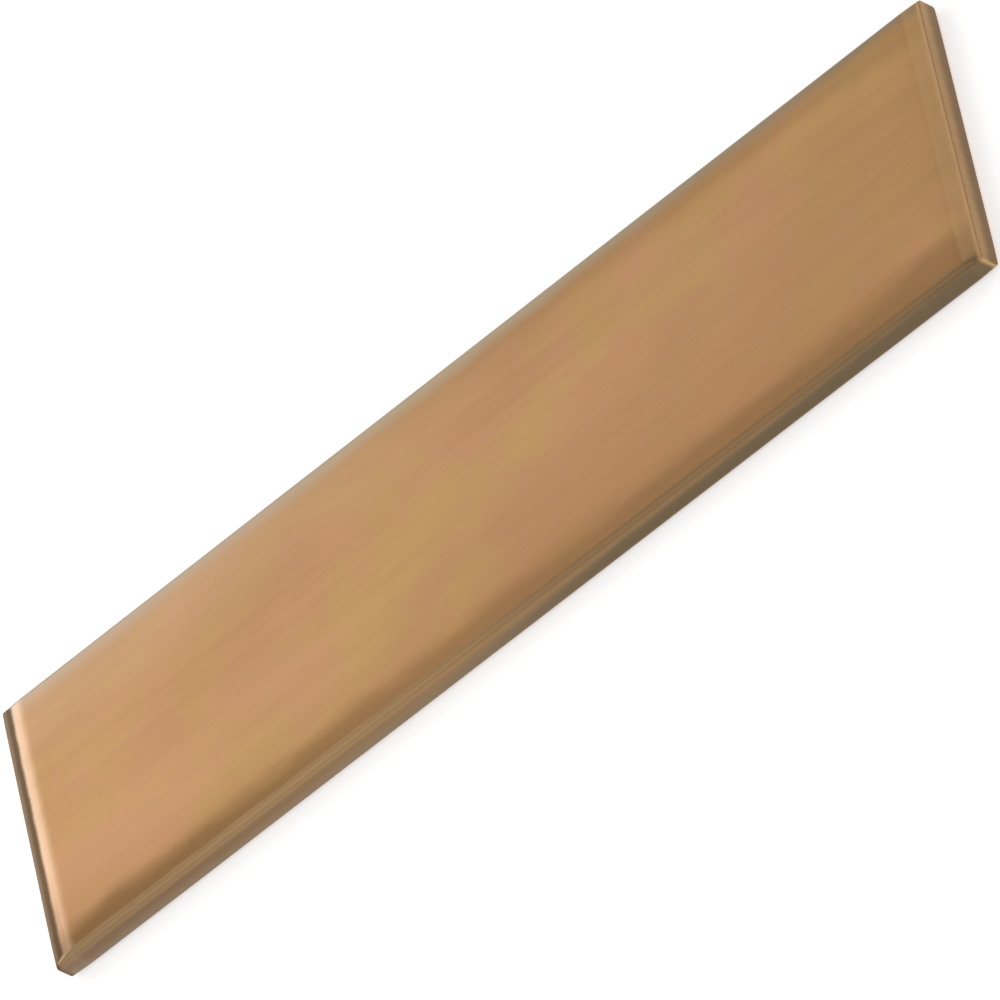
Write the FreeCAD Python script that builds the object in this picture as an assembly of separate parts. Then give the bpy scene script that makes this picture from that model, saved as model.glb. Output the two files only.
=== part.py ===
import FreeCAD, Part
import math
import os

# A cut length of solid copper busbar: one flat rectangular bar of drawn copper.
# All sizes are in millimetres. The bar lies flat, +X runs along its length, +Y across
# its width and +Z up through its thickness. The origin is the middle of its underside.

bar_length = 200.0
bar_width = 50.0
bar_thickness = 5.0

# The drawing die rounds the four long corners of the section.
section_corner_radius = 1.2

# Each sawn end is dressed to take off the burr. A long shallow bevel is filed on the two
# broad faces, and a short steep one breaks the edge of the end face all round. A reach
# is measured along the bar, and a depth inwards from each side that the bevel is on.
bevel_reach = 3.2
bevel_depth = 0.55
nose_reach = 0.3
nose_depth = 0.25


def section_corner(radius, centre, start_degrees):
    """Quarter circle of a section, turning anticlockwise from start_degrees, seen from +X."""
    points = []
    for turn in (0.0, 45.0, 90.0):
        angle = math.radians(start_degrees + turn)
        arm = FreeCAD.Vector(0, radius * math.cos(angle), radius * math.sin(angle))
        points.append(centre + arm)
    return Part.Arc(*points).toShape()


def section(x, face_inset, side_inset):
    """Outline of the bar at a place along X: a rounded rectangle, inset from faces and sides."""
    radius = section_corner_radius - face_inset
    centre_y = bar_width / 2 - side_inset - radius
    low_z = section_corner_radius
    high_z = bar_thickness - section_corner_radius
    corners = [
        section_corner(radius, FreeCAD.Vector(x, centre_y, high_z), 0.0),
        section_corner(radius, FreeCAD.Vector(x, -centre_y, high_z), 90.0),
        section_corner(radius, FreeCAD.Vector(x, -centre_y, low_z), 180.0),
        section_corner(radius, FreeCAD.Vector(x, centre_y, low_z), 270.0),
    ]
    edges = []
    for index, corner in enumerate(corners):
        following = corners[(index + 1) % len(corners)]
        edges.append(corner)
        edges.append(Part.makeLine(corner.Vertexes[-1].Point, following.Vertexes[0].Point))
    return Part.Wire(edges)


def busbar():
    """The bar: straight sides between its sections, from one dressed end to the other."""
    dressing = [
        (bar_length / 2, bevel_depth + nose_depth, nose_depth),
        (bar_length / 2 - nose_reach, bevel_depth, 0.0),
        (bar_length / 2 - nose_reach - bevel_reach, 0.0, 0.0),
    ]
    left_end = [section(-place, *insets) for place, *insets in dressing]
    right_end = [section(place, *insets) for place, *insets in reversed(dressing)]
    return Part.makeLoft(left_end + right_end, True, True)


os.makedirs("parts", exist_ok=True)
busbar().exportStep("parts/busbar.step")
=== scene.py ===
import math

import bmesh
import bpy
import numpy as np
from mathutils import Matrix, Vector


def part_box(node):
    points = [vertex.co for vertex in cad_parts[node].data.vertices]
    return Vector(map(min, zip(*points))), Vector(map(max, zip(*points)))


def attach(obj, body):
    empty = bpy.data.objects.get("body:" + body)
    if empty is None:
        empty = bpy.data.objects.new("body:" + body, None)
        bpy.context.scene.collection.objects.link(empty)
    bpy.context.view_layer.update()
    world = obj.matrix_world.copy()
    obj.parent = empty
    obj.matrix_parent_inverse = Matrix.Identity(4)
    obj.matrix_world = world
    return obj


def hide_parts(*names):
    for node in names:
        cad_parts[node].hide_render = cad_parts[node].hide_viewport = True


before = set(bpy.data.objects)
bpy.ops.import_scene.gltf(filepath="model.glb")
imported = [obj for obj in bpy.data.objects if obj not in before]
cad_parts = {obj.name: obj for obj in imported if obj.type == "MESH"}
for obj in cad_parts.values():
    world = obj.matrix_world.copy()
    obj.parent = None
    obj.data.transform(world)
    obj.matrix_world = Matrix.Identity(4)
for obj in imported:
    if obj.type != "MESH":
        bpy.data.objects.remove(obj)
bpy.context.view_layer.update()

# A cut length of drawn copper busbar on a plain white floor. All lengths are in metres,
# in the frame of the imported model: +X along the bar, +Y across it, +Z up from the floor.
# The left end is the one at -X, and the far side is the one at +Y.

MM = 0.001

low, high = (np.array(corner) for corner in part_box("busbar"))
bar_length, bar_width, bar_thickness = (high - low).tolist()
bar_centre = (low + high) / 2
half_length = bar_length / 2
half_width = bar_width / 2
half_thickness = bar_thickness / 2

# The bar's own edges: long corners from the drawing die, and sawn ends that were dressed
# with a shallow bevel on the two broad faces and a short steep nose all round. Reaches
# run along the bar, depths inwards.
section_corner_radius = 1.2 * MM
bevel_reach = 3.2 * MM
bevel_depth = 0.55 * MM
nose_reach = 0.3 * MM
nose_depth = 0.25 * MM
dressing_reach = bevel_reach + nose_reach
dressing_depth = bevel_depth + nose_depth

# The file leaves no sharp line where the bevel runs out on the face. Both values are
# shares of the bevel's reach: how soft the bend is, and where its rounding ends.
bevel_softness = 0.16
bevel_blend_end = 1.5

# Unevenness of drawn and straightened stock, always taken off the full size. The first
# wave runs along the bar and leans by a share of a turn over its width.
face_rolloff_depth = 0.16 * MM
face_rolloff_reach = 6.0 * MM
face_wave_depth = 0.035 * MM
along_wave_length = 83 * MM
along_wave_lean = 0.7
along_wave_share = 0.65
aslant_wave_length = 37 * MM
aslant_wave_width = 61 * MM
aslant_wave_start = 1.3

# Points of the bar's grid that lie closer than this are one point, and edges shorter than
# the second length are dropped.
seam_gap = 1e-7
seam_edge = 1e-8


class Value:
    """The output of a node. Arithmetic on it adds Math nodes to the same graph."""

    def __init__(self, graph, node, output=0):
        self.graph = graph
        self.node = node
        self.output = output

    def __getitem__(self, output):
        return Value(self.graph, self.node, output)

    @property
    def socket(self):
        return self.node.outputs[self.output]

    def __add__(self, other):
        return self.graph.math("ADD", self, other)

    def __radd__(self, other):
        return self.graph.math("ADD", other, self)

    def __sub__(self, other):
        return self.graph.math("SUBTRACT", self, other)

    def __rsub__(self, other):
        return self.graph.math("SUBTRACT", other, self)

    def __mul__(self, other):
        return self.graph.math("MULTIPLY", self, other)

    def __rmul__(self, other):
        return self.graph.math("MULTIPLY", other, self)

    def __abs__(self):
        return self.graph.math("ABSOLUTE", self)


class Graph:
    """The node tree of one material or of the world, emptied and built again."""

    def __init__(self, owner):
        owner.use_nodes = True
        self.tree = owner.node_tree
        self.tree.nodes.clear()

    def node(self, kind, settings=None, sockets=None):
        """Add a node: its settings first, then the values or links of its sockets."""
        node = self.tree.nodes.new(kind)
        for name, setting in (settings or {}).items():
            setattr(node, name, setting)
        for name, value in (sockets or {}).items():
            if isinstance(value, Value):
                self.tree.links.new(value.socket, node.inputs[name])
            else:
                node.inputs[name].default_value = value
        return Value(self, node)

    def math(self, operation, *inputs):
        """A Math node on values or plain numbers."""
        return self.node("ShaderNodeMath", {"operation": operation}, dict(enumerate(inputs)))

    def step(self, value, start, end):
        """Smooth step of a value: 0 at start, 1 at end."""
        settings = {"interpolation_type": "SMOOTHSTEP"}
        sockets = {"Value": value, "From Min": start, "From Max": end}
        return self.node("ShaderNodeMapRange", settings, sockets)

    def noise(self, point, scale, detail=2.0, roughness=0.5, stretch=(1.0, 1.0, 1.0)):
        """Noise with about `scale` cells to the metre along an axis whose stretch is 1."""
        settings = {"vector_type": "POINT"}
        placed = self.node("ShaderNodeMapping", settings, {"Vector": point, "Scale": stretch})
        sockets = {"Vector": placed, "Scale": scale, "Detail": detail, "Roughness": roughness}
        return self.node("ShaderNodeTexNoise", {}, sockets)

    def blend(self, factor, first, second):
        """Mix of two colours. They are inputs 6 and 7 of a Mix node, and output 2."""
        settings = {"data_type": "RGBA", "blend_type": "MIX"}
        return self.node("ShaderNodeMix", settings, {0: factor, 6: first, 7: second})[2]


def colour(red, green, blue):
    """Linear colour of an sRGB colour that is given in levels of 0 to 255."""
    levels = np.array((red, green, blue)) / 255.0
    linear = np.where(levels <= 0.04045, levels / 12.92, ((levels + 0.055) / 1.055) ** 2.4)
    return (*linear.tolist(), 1.0)


def section_outline(columns_across, columns_corner, columns_side):
    """Points and outward normals round the section, anticlockwise seen from +X.

    Each quarter circle has its centre one corner radius inside the two faces that it
    joins, and the faces between them are straight.
    """
    centre_y = half_width - section_corner_radius
    centre_z = half_thickness - section_corner_radius
    counts = (columns_side, columns_across, columns_side, columns_across)
    signs = ((1, 1), (-1, 1), (-1, -1), (1, -1))
    points = []
    normals = []
    for index, (sign_y, sign_z) in enumerate(signs):
        angles = np.radians(90.0 * index + np.linspace(0.0, 90.0, columns_corner + 1))
        corner_normals = np.stack([np.cos(angles), np.sin(angles)], axis=1)
        centre = np.array([sign_y * centre_y, sign_z * centre_z])
        corner = centre + section_corner_radius * corner_normals
        following = (index + 1) % len(signs)
        next_y, next_z = signs[following]
        next_centre = np.array([next_y * centre_y, next_z * centre_z])
        face_end = next_centre + section_corner_radius * corner_normals[-1]
        share = np.linspace(0.0, 1.0, counts[following] + 1)[1:-1, None]
        face = corner[-1] * (1 - share) + face_end * share
        points += [corner, face]
        normals += [corner_normals, np.repeat(corner_normals[-1:], len(face), axis=0)]
    return np.concatenate(points), np.concatenate(normals)


def bar_stations(rows_cap, rows_nose, rows_bevel, rows_run):
    """Place along X, inset of the broad faces and shrinking of the end face.

    The stations run from the -X end to the +X end, and both halves are alike. On the flat
    end the section shrinks to a line. The nose is a quarter of an ellipse. The bevel's
    inset falls in a straight line and meets the run in a hyperbola that hugs both.
    """
    shrink = np.linspace(1.0, 0.0, rows_cap + 1)[:-1]
    turn = np.linspace(math.pi / 2, 0.0, rows_nose + 1)[:-1]
    nose_back = nose_reach * (1 - np.sin(turn))
    nose_inset = dressing_depth - nose_depth * np.cos(turn)
    share = np.linspace(0.0, bevel_blend_end, rows_bevel + 1)
    left_over = (1 - share + np.sqrt((1 - share) ** 2 + bevel_softness ** 2)) / 2
    bevel_inset = bevel_depth * (left_over - left_over[-1]) / (left_over[0] - left_over[-1])
    bevel_back = nose_reach + bevel_reach * share
    run_back = np.linspace(bevel_back[-1], half_length, rows_run + 1)[1:]
    back = np.concatenate([0 * shrink, nose_back, bevel_back, run_back])
    inset = np.concatenate([0 * shrink + dressing_depth, nose_inset, bevel_inset, 0 * run_back])
    shrink = np.concatenate([shrink, np.zeros(len(back) - len(shrink))])
    x = np.concatenate([back - half_length, half_length - back[-2::-1]])
    inset = np.concatenate([inset, inset[-2::-1]])
    shrink = np.concatenate([shrink, shrink[-2::-1]])
    return x[:, None], inset[:, None], shrink[:, None]


def thinning(x, y):
    """How far the broad faces lie under full size at a point of the bar.

    Along the long edges the face falls away with the square of the distance inside the
    rolloff's reach. Over the whole face it has two slow waves, one along and one aslant.
    """
    rolloff_start = half_width - face_rolloff_reach
    inside = np.clip((np.abs(y) - rolloff_start) / face_rolloff_reach, 0.0, 1.0)
    along_turns = x / along_wave_length + along_wave_lean * y / bar_width
    aslant_turns = x / aslant_wave_length - y / aslant_wave_width
    along = 0.5 + 0.5 * np.sin(2 * math.pi * along_turns)
    aslant = 0.5 + 0.5 * np.sin(2 * math.pi * aslant_turns + aslant_wave_start)
    waves = along_wave_share * along + (1 - along_wave_share) * aslant
    return face_rolloff_depth * inside ** 2 + face_wave_depth * waves


def bar_surface():
    """Vertices and quads of the whole closed bar, as one grid of stations by outline points.

    The corner radius shrinks by the inset of the broad faces. The narrow sides come in by
    the nose's part of it alone, so the corners' centres move outwards by the rest.
    """
    outline, normals = section_outline(columns_across=96, columns_corner=10, columns_side=8)
    x, inset, shrink = bar_stations(rows_cap=6, rows_nose=5, rows_bevel=18, rows_run=100)
    side_inset = np.maximum(inset - bevel_depth, 0.0)
    across = np.clip(outline[:, 0] / (half_width - section_corner_radius), -1.0, 1.0)
    y = outline[:, 0] - inset * normals[:, 0] + (inset - side_inset) * across
    z = outline[:, 1] - inset * normals[:, 1]
    spine_y = np.clip(y, half_thickness - half_width, half_width - half_thickness)
    y = y + shrink * (spine_y - y)
    z = z * (1 - shrink)
    x = np.broadcast_to(x, y.shape)
    z = z * (1 - thinning(x, y) / half_thickness)
    vertices = np.stack([x, y, z], axis=2) + bar_centre
    rows, columns = y.shape
    index = np.arange(rows * columns).reshape(rows, columns)
    following = np.roll(index, -1, axis=1)
    quads = np.stack([index[:-1], following[:-1], following[1:], index[1:]], axis=2)
    return vertices.reshape(-1, 3), quads.reshape(-1, 4)


def mesh_object(name, vertices, quads):
    """A mesh object at the origin."""
    mesh = bpy.data.meshes.new(name)
    mesh.from_pydata(vertices.tolist(), [], quads.tolist())
    mesh.validate()
    piece = bpy.data.objects.new(name, mesh)
    bpy.context.scene.collection.objects.link(piece)
    return piece


def close_seams(piece):
    """Join the points that the grid brings together on the end faces, and shade it smooth."""
    shell = bmesh.new()
    shell.from_mesh(piece.data)
    bmesh.ops.remove_doubles(shell, verts=shell.verts, dist=seam_gap)
    bmesh.ops.dissolve_degenerate(shell, edges=shell.edges, dist=seam_edge)
    bmesh.ops.recalc_face_normals(shell, faces=shell.faces)
    for face in shell.faces:
        face.smooth = True
    shell.to_mesh(piece.data)
    shell.free()


class Surface:
    """What a point of the bar's surface is like: where it lies, and the lines and films on it.

    Each region is a value that runs from 0 outside it to 1 inside.
    """

    def __init__(self, graph):
        self.graph = graph
        point = graph.node("ShaderNodeTexCoord")["Object"]
        axes = graph.node("ShaderNodeSeparateXYZ", {}, {0: point})
        self.height = axes["Z"]
        self.to_end = half_length - abs(axes["X"])
        self.to_side = half_width - abs(axes["Y"])

        # Fine lines and grain, and the slow patches of the tarnish.
        self.draw_lines = graph.noise(point, 2600.0, 3.0, 0.6, stretch=(0.012, 1.0, 1.0))
        self.broad_lines = graph.noise(point, 420.0, 2.0, stretch=(0.02, 1.0, 1.0))
        self.grain = graph.noise(point, 1800.0, 3.0, 0.65)
        self.file_lines = graph.noise(point, 1300.0, 3.0, stretch=(1.0, 0.015, 0.4))
        self.saw_lines = graph.noise(point, 1500.0, 2.0, stretch=(1.0, 0.9, 0.02))
        self.unevenness = graph.noise(point, 260.0, 3.0, stretch=(0.35, 1.0, 1.0)) - 0.5
        cloud = graph.noise(point, 32.0, 3.0, 0.55, stretch=(0.6, 1.0, 1.0))
        patch = graph.noise(point, 75.0, 3.0, 0.6, stretch=(0.7, 1.0, 1.0))
        self.film = graph.step(cloud, 0.35, 0.68)
        self.warm = graph.step(patch, 0.40, 0.62)

        # Slow changes from one end or side to the other.
        self.left_end = graph.step(axes["X"], 0.0, -half_length)
        self.left_part = graph.step(axes["X"], 0.3 * half_length, -0.6 * half_length)
        self.right_part = graph.step(axes["X"], 0.0, half_length)
        self.right_tip = graph.step(axes["X"], 0.6 * half_length, half_length)
        self.far_side = graph.step(axes["Y"], -half_width, half_width)
        # The last one: where the left rim's painted highlight is bright, away from the near side.
        self.rim_highlight_side = graph.step(axes["Y"], -1.2 * half_width, -0.1 * half_width)

        # Regions with a border of their own.
        bevel_inside = dressing_reach - self.to_end + self.unevenness * (0.6 * MM)
        self.bevel = graph.step(bevel_inside, -0.3 * MM, 0.6 * MM)
        self.sawn_end = self.within(self.to_end, full=0.02, none=0.20)
        film_lip = (1 - self.far_side) * (self.left_part * (0.2 * MM) + 0.5 * MM)
        self.side_film = self.within(self.to_side - film_lip, full=0.15, none=0.95, ragged=0.5)

    def within(self, distance, full, none, ragged=0.0):
        """1 where a distance is under `full` and 0 where it is over `none`.

        The border wanders by a share of `ragged`. All three are in millimetres.
        """
        if ragged:
            distance = distance + self.unevenness * (ragged * MM)
        return 1 - self.graph.step(distance, full * MM, none * MM)


def copper_tone(graph, at):
    """Base colour: clean copper with yellower and redder patches, under layers of tone.

    Painted shade deepens towards the long edges, most at the near one, and towards the
    right end, and painted light and shade lie along the far edge. The sides carry a film,
    with a painted highlight along their near upper corner and painted shade low down. At
    the left end the bevel and a rim behind it carry a painted highlight, with a dark line
    of painted shade in front of them. The right bevel and nose carry painted light.
    """
    left_end = at.left_end
    left_part = at.left_part
    right_part = at.right_part
    near_side = 1 - at.far_side

    # Darker lines of the drawing die, and painted shade on the broad faces: towards the near
    # side, towards the right end and along the long edges, deepest at the near one.
    lines_shade = graph.step(at.draw_lines * 0.6 + at.broad_lines * 0.4, 0.30, 0.70)
    broad_shade = at.within(at.to_side, full=2.0, none=17.0) * near_side
    end_shade = at.within(at.to_end, full=1.0, none=13.0, ragged=8.0) * (1 - left_end)
    edge_distance = at.to_side - at.right_tip * (2.5 * MM)
    edge_shade = at.within(edge_distance, full=2.4, none=7.4, ragged=4.0)
    edge_share = 0.80 + 0.06 * left_end - 0.40 * at.far_side
    edge_colour = graph.blend(left_end * near_side, colour(148, 111, 71), colour(120, 88, 49))

    # Painted sheen along the far edge at the left, and painted light and shade on the edge
    # itself: pale at the left, darker at the right.
    far_sheen = at.within(at.to_side, full=0.5, none=20.0, ragged=3.0) * at.far_side * left_part
    far_distance = at.to_side + right_part * (0.5 * MM)
    far_light_shade = at.within(far_distance, full=1.0, none=4.2, ragged=1.6) * at.far_side
    far_right_colour = graph.blend(right_part, colour(176, 161, 136), colour(137, 124, 99))
    far_colour = graph.blend(left_end, far_right_colour, colour(179, 158, 137))

    # Film on the sides, a painted highlight along their near upper corner,
    # and painted shade low down.
    side_colour = graph.blend(left_end, colour(150, 121, 87), colour(131, 107, 86))
    corner = at.side_film * graph.step(at.height, 3.4 * MM, 4.7 * MM) * near_side
    corner_colour = graph.blend(left_part, colour(150, 119, 84), colour(190, 156, 112))
    low_shade_reach = (1 - left_part) * (1.3 * MM) + right_part * (0.9 * MM)
    low_shade = at.within(at.height - low_shade_reach, full=1.2, none=3.0, ragged=1.2)
    low_shade = low_shade * at.within(at.to_side, full=0.8, none=3.0, ragged=1.6)
    # The very bottom is left lighter, as a painted reflection of the floor.
    low_shade = low_shade * (0.55 + 0.45 * graph.step(at.height, 0.4 * MM, 1.5 * MM))
    low_shade_colour = graph.blend(left_part, colour(104, 90, 68), colour(156, 141, 119))

    # Painted highlight on the left bevel and on a rim behind it, a dark line of painted shade
    # on the left nose with a painted highlight at its very end, and painted light on the right
    # nose.
    left_bevel = at.bevel * left_end
    rim_highlight = at.within(at.to_end - dressing_reach, full=-0.2, none=1.8, ragged=0.6)
    rim_highlight = rim_highlight * (1 - at.bevel) * left_end
    # Painted shade as a dark line on the left nose, painted light on the right nose.
    painted_nose_reach = 0.7 * MM + left_end * (1 - at.side_film) * (1.6 * MM)
    painted_nose = at.within(at.to_end - painted_nose_reach, full=-0.50, none=0.42, ragged=0.5)
    nose_tip_highlight = at.within(at.to_end, full=0.5, none=1.3, ragged=0.4)
    left_nose_colour = graph.blend(nose_tip_highlight, colour(70, 48, 18), colour(104, 84, 60))
    nose_colour = graph.blend(left_end, colour(198, 159, 115), left_nose_colour)

    # Sawn end faces, with painted shade on their lower half.
    upper_half = graph.step(at.height + at.unevenness * (1.0 * MM), 1.9 * MM, 3.7 * MM)
    sawn_colour = graph.blend(upper_half, colour(114, 92, 64), colour(168, 132, 90))
    saw_marks = at.sawn_end * graph.step(at.saw_lines, 0.35, 0.65)

    patches = graph.blend(at.warm, colour(190, 151, 92), colour(194, 141, 108))
    tone = graph.blend(0.5, colour(190, 147, 102), patches)
    # Each layer covers the ones before it by its share.
    layers = [
        (at.film * 0.45, colour(176, 132, 88)),
        (lines_shade * 0.18, colour(150, 108, 70)),
        # Painted shade: towards the near side, the right end and the long edges.
        (broad_shade * 0.35, colour(168, 122, 78)),
        (end_shade * 0.30, colour(160, 118, 78)),
        (edge_shade * edge_share, edge_colour),
        # Painted sheen, and painted light and shade, along the far edge.
        (far_sheen * 0.50, colour(202, 164, 128)),
        (far_light_shade * 0.80, far_colour),
        # Painted light on the bevels away from the left end.
        ((at.bevel - left_bevel) * 0.34, colour(204, 164, 118)),
        # Painted highlight on the left rim and bevel, darker towards the near side.
        (rim_highlight * (0.3 + 0.4 * at.rim_highlight_side), colour(226, 190, 158)),
        (left_bevel * at.rim_highlight_side * 0.58, colour(200, 174, 152)),
        (left_bevel * (1 - at.rim_highlight_side) * 0.65, colour(146, 114, 88)),
        (at.side_film * (0.60 + 0.25 * at.film), side_colour),
        # Painted highlight along the near upper corner, painted shade low on the sides.
        (corner * (0.80 - 0.30 * left_end), corner_colour),
        (low_shade * (0.80 - 0.35 * left_part), low_shade_colour),
        # Painted shade and light on the noses.
        (painted_nose * 0.95, nose_colour),
        # Sawn ends, with painted shade on their lower half.
        (at.sawn_end * 0.80, sawn_colour),
        (saw_marks * 0.14, colour(110, 84, 60)),
    ]
    for share, layer_colour in layers:
        tone = graph.blend(share, tone, layer_colour)
    return tone


def copper_roughness(at):
    """Satin, a little rougher on the sawn ends and the sides, smoother on the filed bevels."""
    roughness = 0.36 + 0.05 * (at.film - 0.5)
    roughness = roughness + 0.08 * (at.broad_lines - 0.5) + 0.05 * (at.grain - 0.5)
    filed = at.bevel * (1 - at.sawn_end)
    return roughness + at.sawn_end * 0.08 - filed * 0.05 + at.side_film * 0.04


def copper_relief(graph, at):
    """Bump: draw lines along the bar, file lines along each bevel, upright saw lines."""
    drawn = at.draw_lines * 0.5 + at.broad_lines * 0.5 + at.grain * 0.25
    filed = at.file_lines * 0.7 + at.grain * 0.15
    relief = drawn + at.bevel * (filed - drawn)
    relief = relief + at.sawn_end * (at.saw_lines * 1.6 - relief)
    sockets = {"Strength": 0.4, "Distance": 0.01 * MM, "Height": relief}
    return graph.node("ShaderNodeBump", {}, sockets)


def drawn_copper():
    """Satin drawn copper, thinly and unevenly tarnished, with painted light and shade in its
    colour.
    """
    material = bpy.data.materials.new("drawn_copper")
    graph = Graph(material)
    at = Surface(graph)
    sockets = {
        "Base Color": copper_tone(graph, at),
        "Metallic": 1.0,
        "Roughness": copper_roughness(at),
        "Normal": copper_relief(graph, at),
    }
    shader = graph.node("ShaderNodeBsdfPrincipled", {}, sockets)
    graph.node("ShaderNodeOutputMaterial", {}, {"Surface": shader})
    return material


def add_bar():
    """The bar's fine surface, which stands for the plain solid."""
    vertices, quads = bar_surface()
    piece = mesh_object("drawn_bar", vertices, quads)
    close_seams(piece)
    piece.data.materials.append(drawn_copper())
    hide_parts("busbar")
    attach(piece, "root")


# The floor's own light shows to the camera and in reflections only, so it lights nothing,
# and the floor keeps the bar's shadow.
white = (1.0, 1.0, 1.0, 1.0)
floor_paint = (0.86, 0.86, 0.86, 1.0)
floor_own_light = 0.50
floor_size = 12.0
floor_gap = 0.02 * MM

# The room's light by direction: white near the horizon and a plain grey overhead.
room_horizon = 1.0
room_overhead = 0.55
horizon_height = 0.10
overhead_height = 0.45


def add_floor():
    """A wide white floor under the bar."""
    half = floor_size / 2
    corners = np.array([(-half, -half, 0), (half, -half, 0), (half, half, 0), (-half, half, 0)])
    corners[:, 2] = low[2] - floor_gap
    floor = mesh_object("floor", corners, np.array([(0, 1, 2, 3)]))
    material = bpy.data.materials.new("white_floor")
    graph = Graph(material)
    path = graph.node("ShaderNodeLightPath")
    seen = path["Is Camera Ray"] + path["Is Glossy Ray"] + path["Is Transmission Ray"]
    strength = seen * floor_own_light
    paint = graph.node("ShaderNodeBsdfDiffuse", {}, {"Color": floor_paint})
    glow = graph.node("ShaderNodeEmission", {}, {"Color": white, "Strength": strength})
    both = graph.node("ShaderNodeAddShader", {}, {0: paint, 1: glow})
    graph.node("ShaderNodeOutputMaterial", {}, {"Surface": both})
    floor.data.materials.append(material)


def add_softbox(name, azimuth, elevation, distance, width, height, radiance):
    """A soft rectangular lamp that looks at the bar's centre.

    The azimuth turns from +Y towards -X and the elevation rises from the floor, both in
    degrees. The power is the radiance times pi times the lamp's area.
    """
    lamp = bpy.data.lights.new(name, "AREA")
    lamp.shape = "RECTANGLE"
    lamp.size = width
    lamp.size_y = height
    lamp.energy = radiance * math.pi * width * height
    level = math.cos(math.radians(elevation))
    away = Vector((
        -math.sin(math.radians(azimuth)) * level,
        math.cos(math.radians(azimuth)) * level,
        math.sin(math.radians(elevation)),
    ))
    holder = bpy.data.objects.new(name, lamp)
    facing = away.to_track_quat("Z", "Y").to_matrix().to_4x4()
    holder.matrix_world = Matrix.Translation(Vector(bar_centre) + distance * away) @ facing
    holder.visible_camera = False
    bpy.context.scene.collection.objects.link(holder)


def add_lights():
    """Plain studio light: soft lamps round the bar in a pale room."""
    add_softbox(
        "back_window", azimuth=38, elevation=40, distance=0.90,
        width=0.75, height=0.55, radiance=0.471,
    )
    add_softbox(
        "left_strip", azimuth=55, elevation=20, distance=0.62,
        width=0.35, height=0.22, radiance=1.3,
    )
    add_softbox(
        "front_fill", azimuth=130, elevation=50, distance=1.0,
        width=0.8, height=0.8, radiance=0.45,
    )
    add_softbox(
        "rear_fill", azimuth=218, elevation=22, distance=1.0,
        width=0.9, height=0.45, radiance=0.32,
    )
    world = bpy.data.worlds.new("pale_room")
    bpy.context.scene.world = world
    graph = Graph(world)
    direction = graph.node("ShaderNodeTexCoord")["Generated"]
    height = graph.node("ShaderNodeSeparateXYZ", {}, {0: direction})["Z"]
    overhead = graph.step(height, horizon_height, overhead_height)
    level = room_horizon + overhead * (room_overhead - room_horizon)
    sky = graph.node("ShaderNodeBackground", {}, {"Color": white, "Strength": level})
    graph.node("ShaderNodeOutputWorld", {}, {"Surface": sky})


# The camera stands to the right of the bar's middle and looks down on it through a long
# lens, rolled so that the bar runs from the lower left to the upper right of the frame.
camera_azimuth = math.radians(38.8)
camera_elevation = math.radians(39.35)
camera_roll = math.radians(-64.73)
camera_distance = 72.15 * bar_width
camera_target = Vector((-0.0137 * bar_width, 0.0035 * bar_width, 0.0))
camera_lens = 864.0
camera_sensor = 36.0
camera_sight = 20.0


def add_camera():
    """Camera that looks close to the bar's centre, from an azimuth that turns from -Y to +X."""
    level = math.cos(camera_elevation)
    back = Vector((
        math.sin(camera_azimuth) * level,
        -math.cos(camera_azimuth) * level,
        math.sin(camera_elevation),
    ))
    right = Vector((0, 0, 1)).cross(back).normalized()
    up = back.cross(right)
    turn = Matrix.Rotation(camera_roll, 4, "Z")
    axes = Matrix((right, up, back)).transposed().to_4x4()
    data = bpy.data.cameras.new("camera")
    data.lens = camera_lens
    data.sensor_width = camera_sensor
    data.clip_end = camera_sight
    camera = bpy.data.objects.new("camera", data)
    camera.matrix_world = Matrix.Translation(camera_target + camera_distance * back) @ axes @ turn
    bpy.context.scene.collection.objects.link(camera)
    bpy.context.scene.camera = camera


add_bar()
add_floor()
add_lights()
add_camera()
bpy.context.scene.view_settings.view_transform = "Standard"
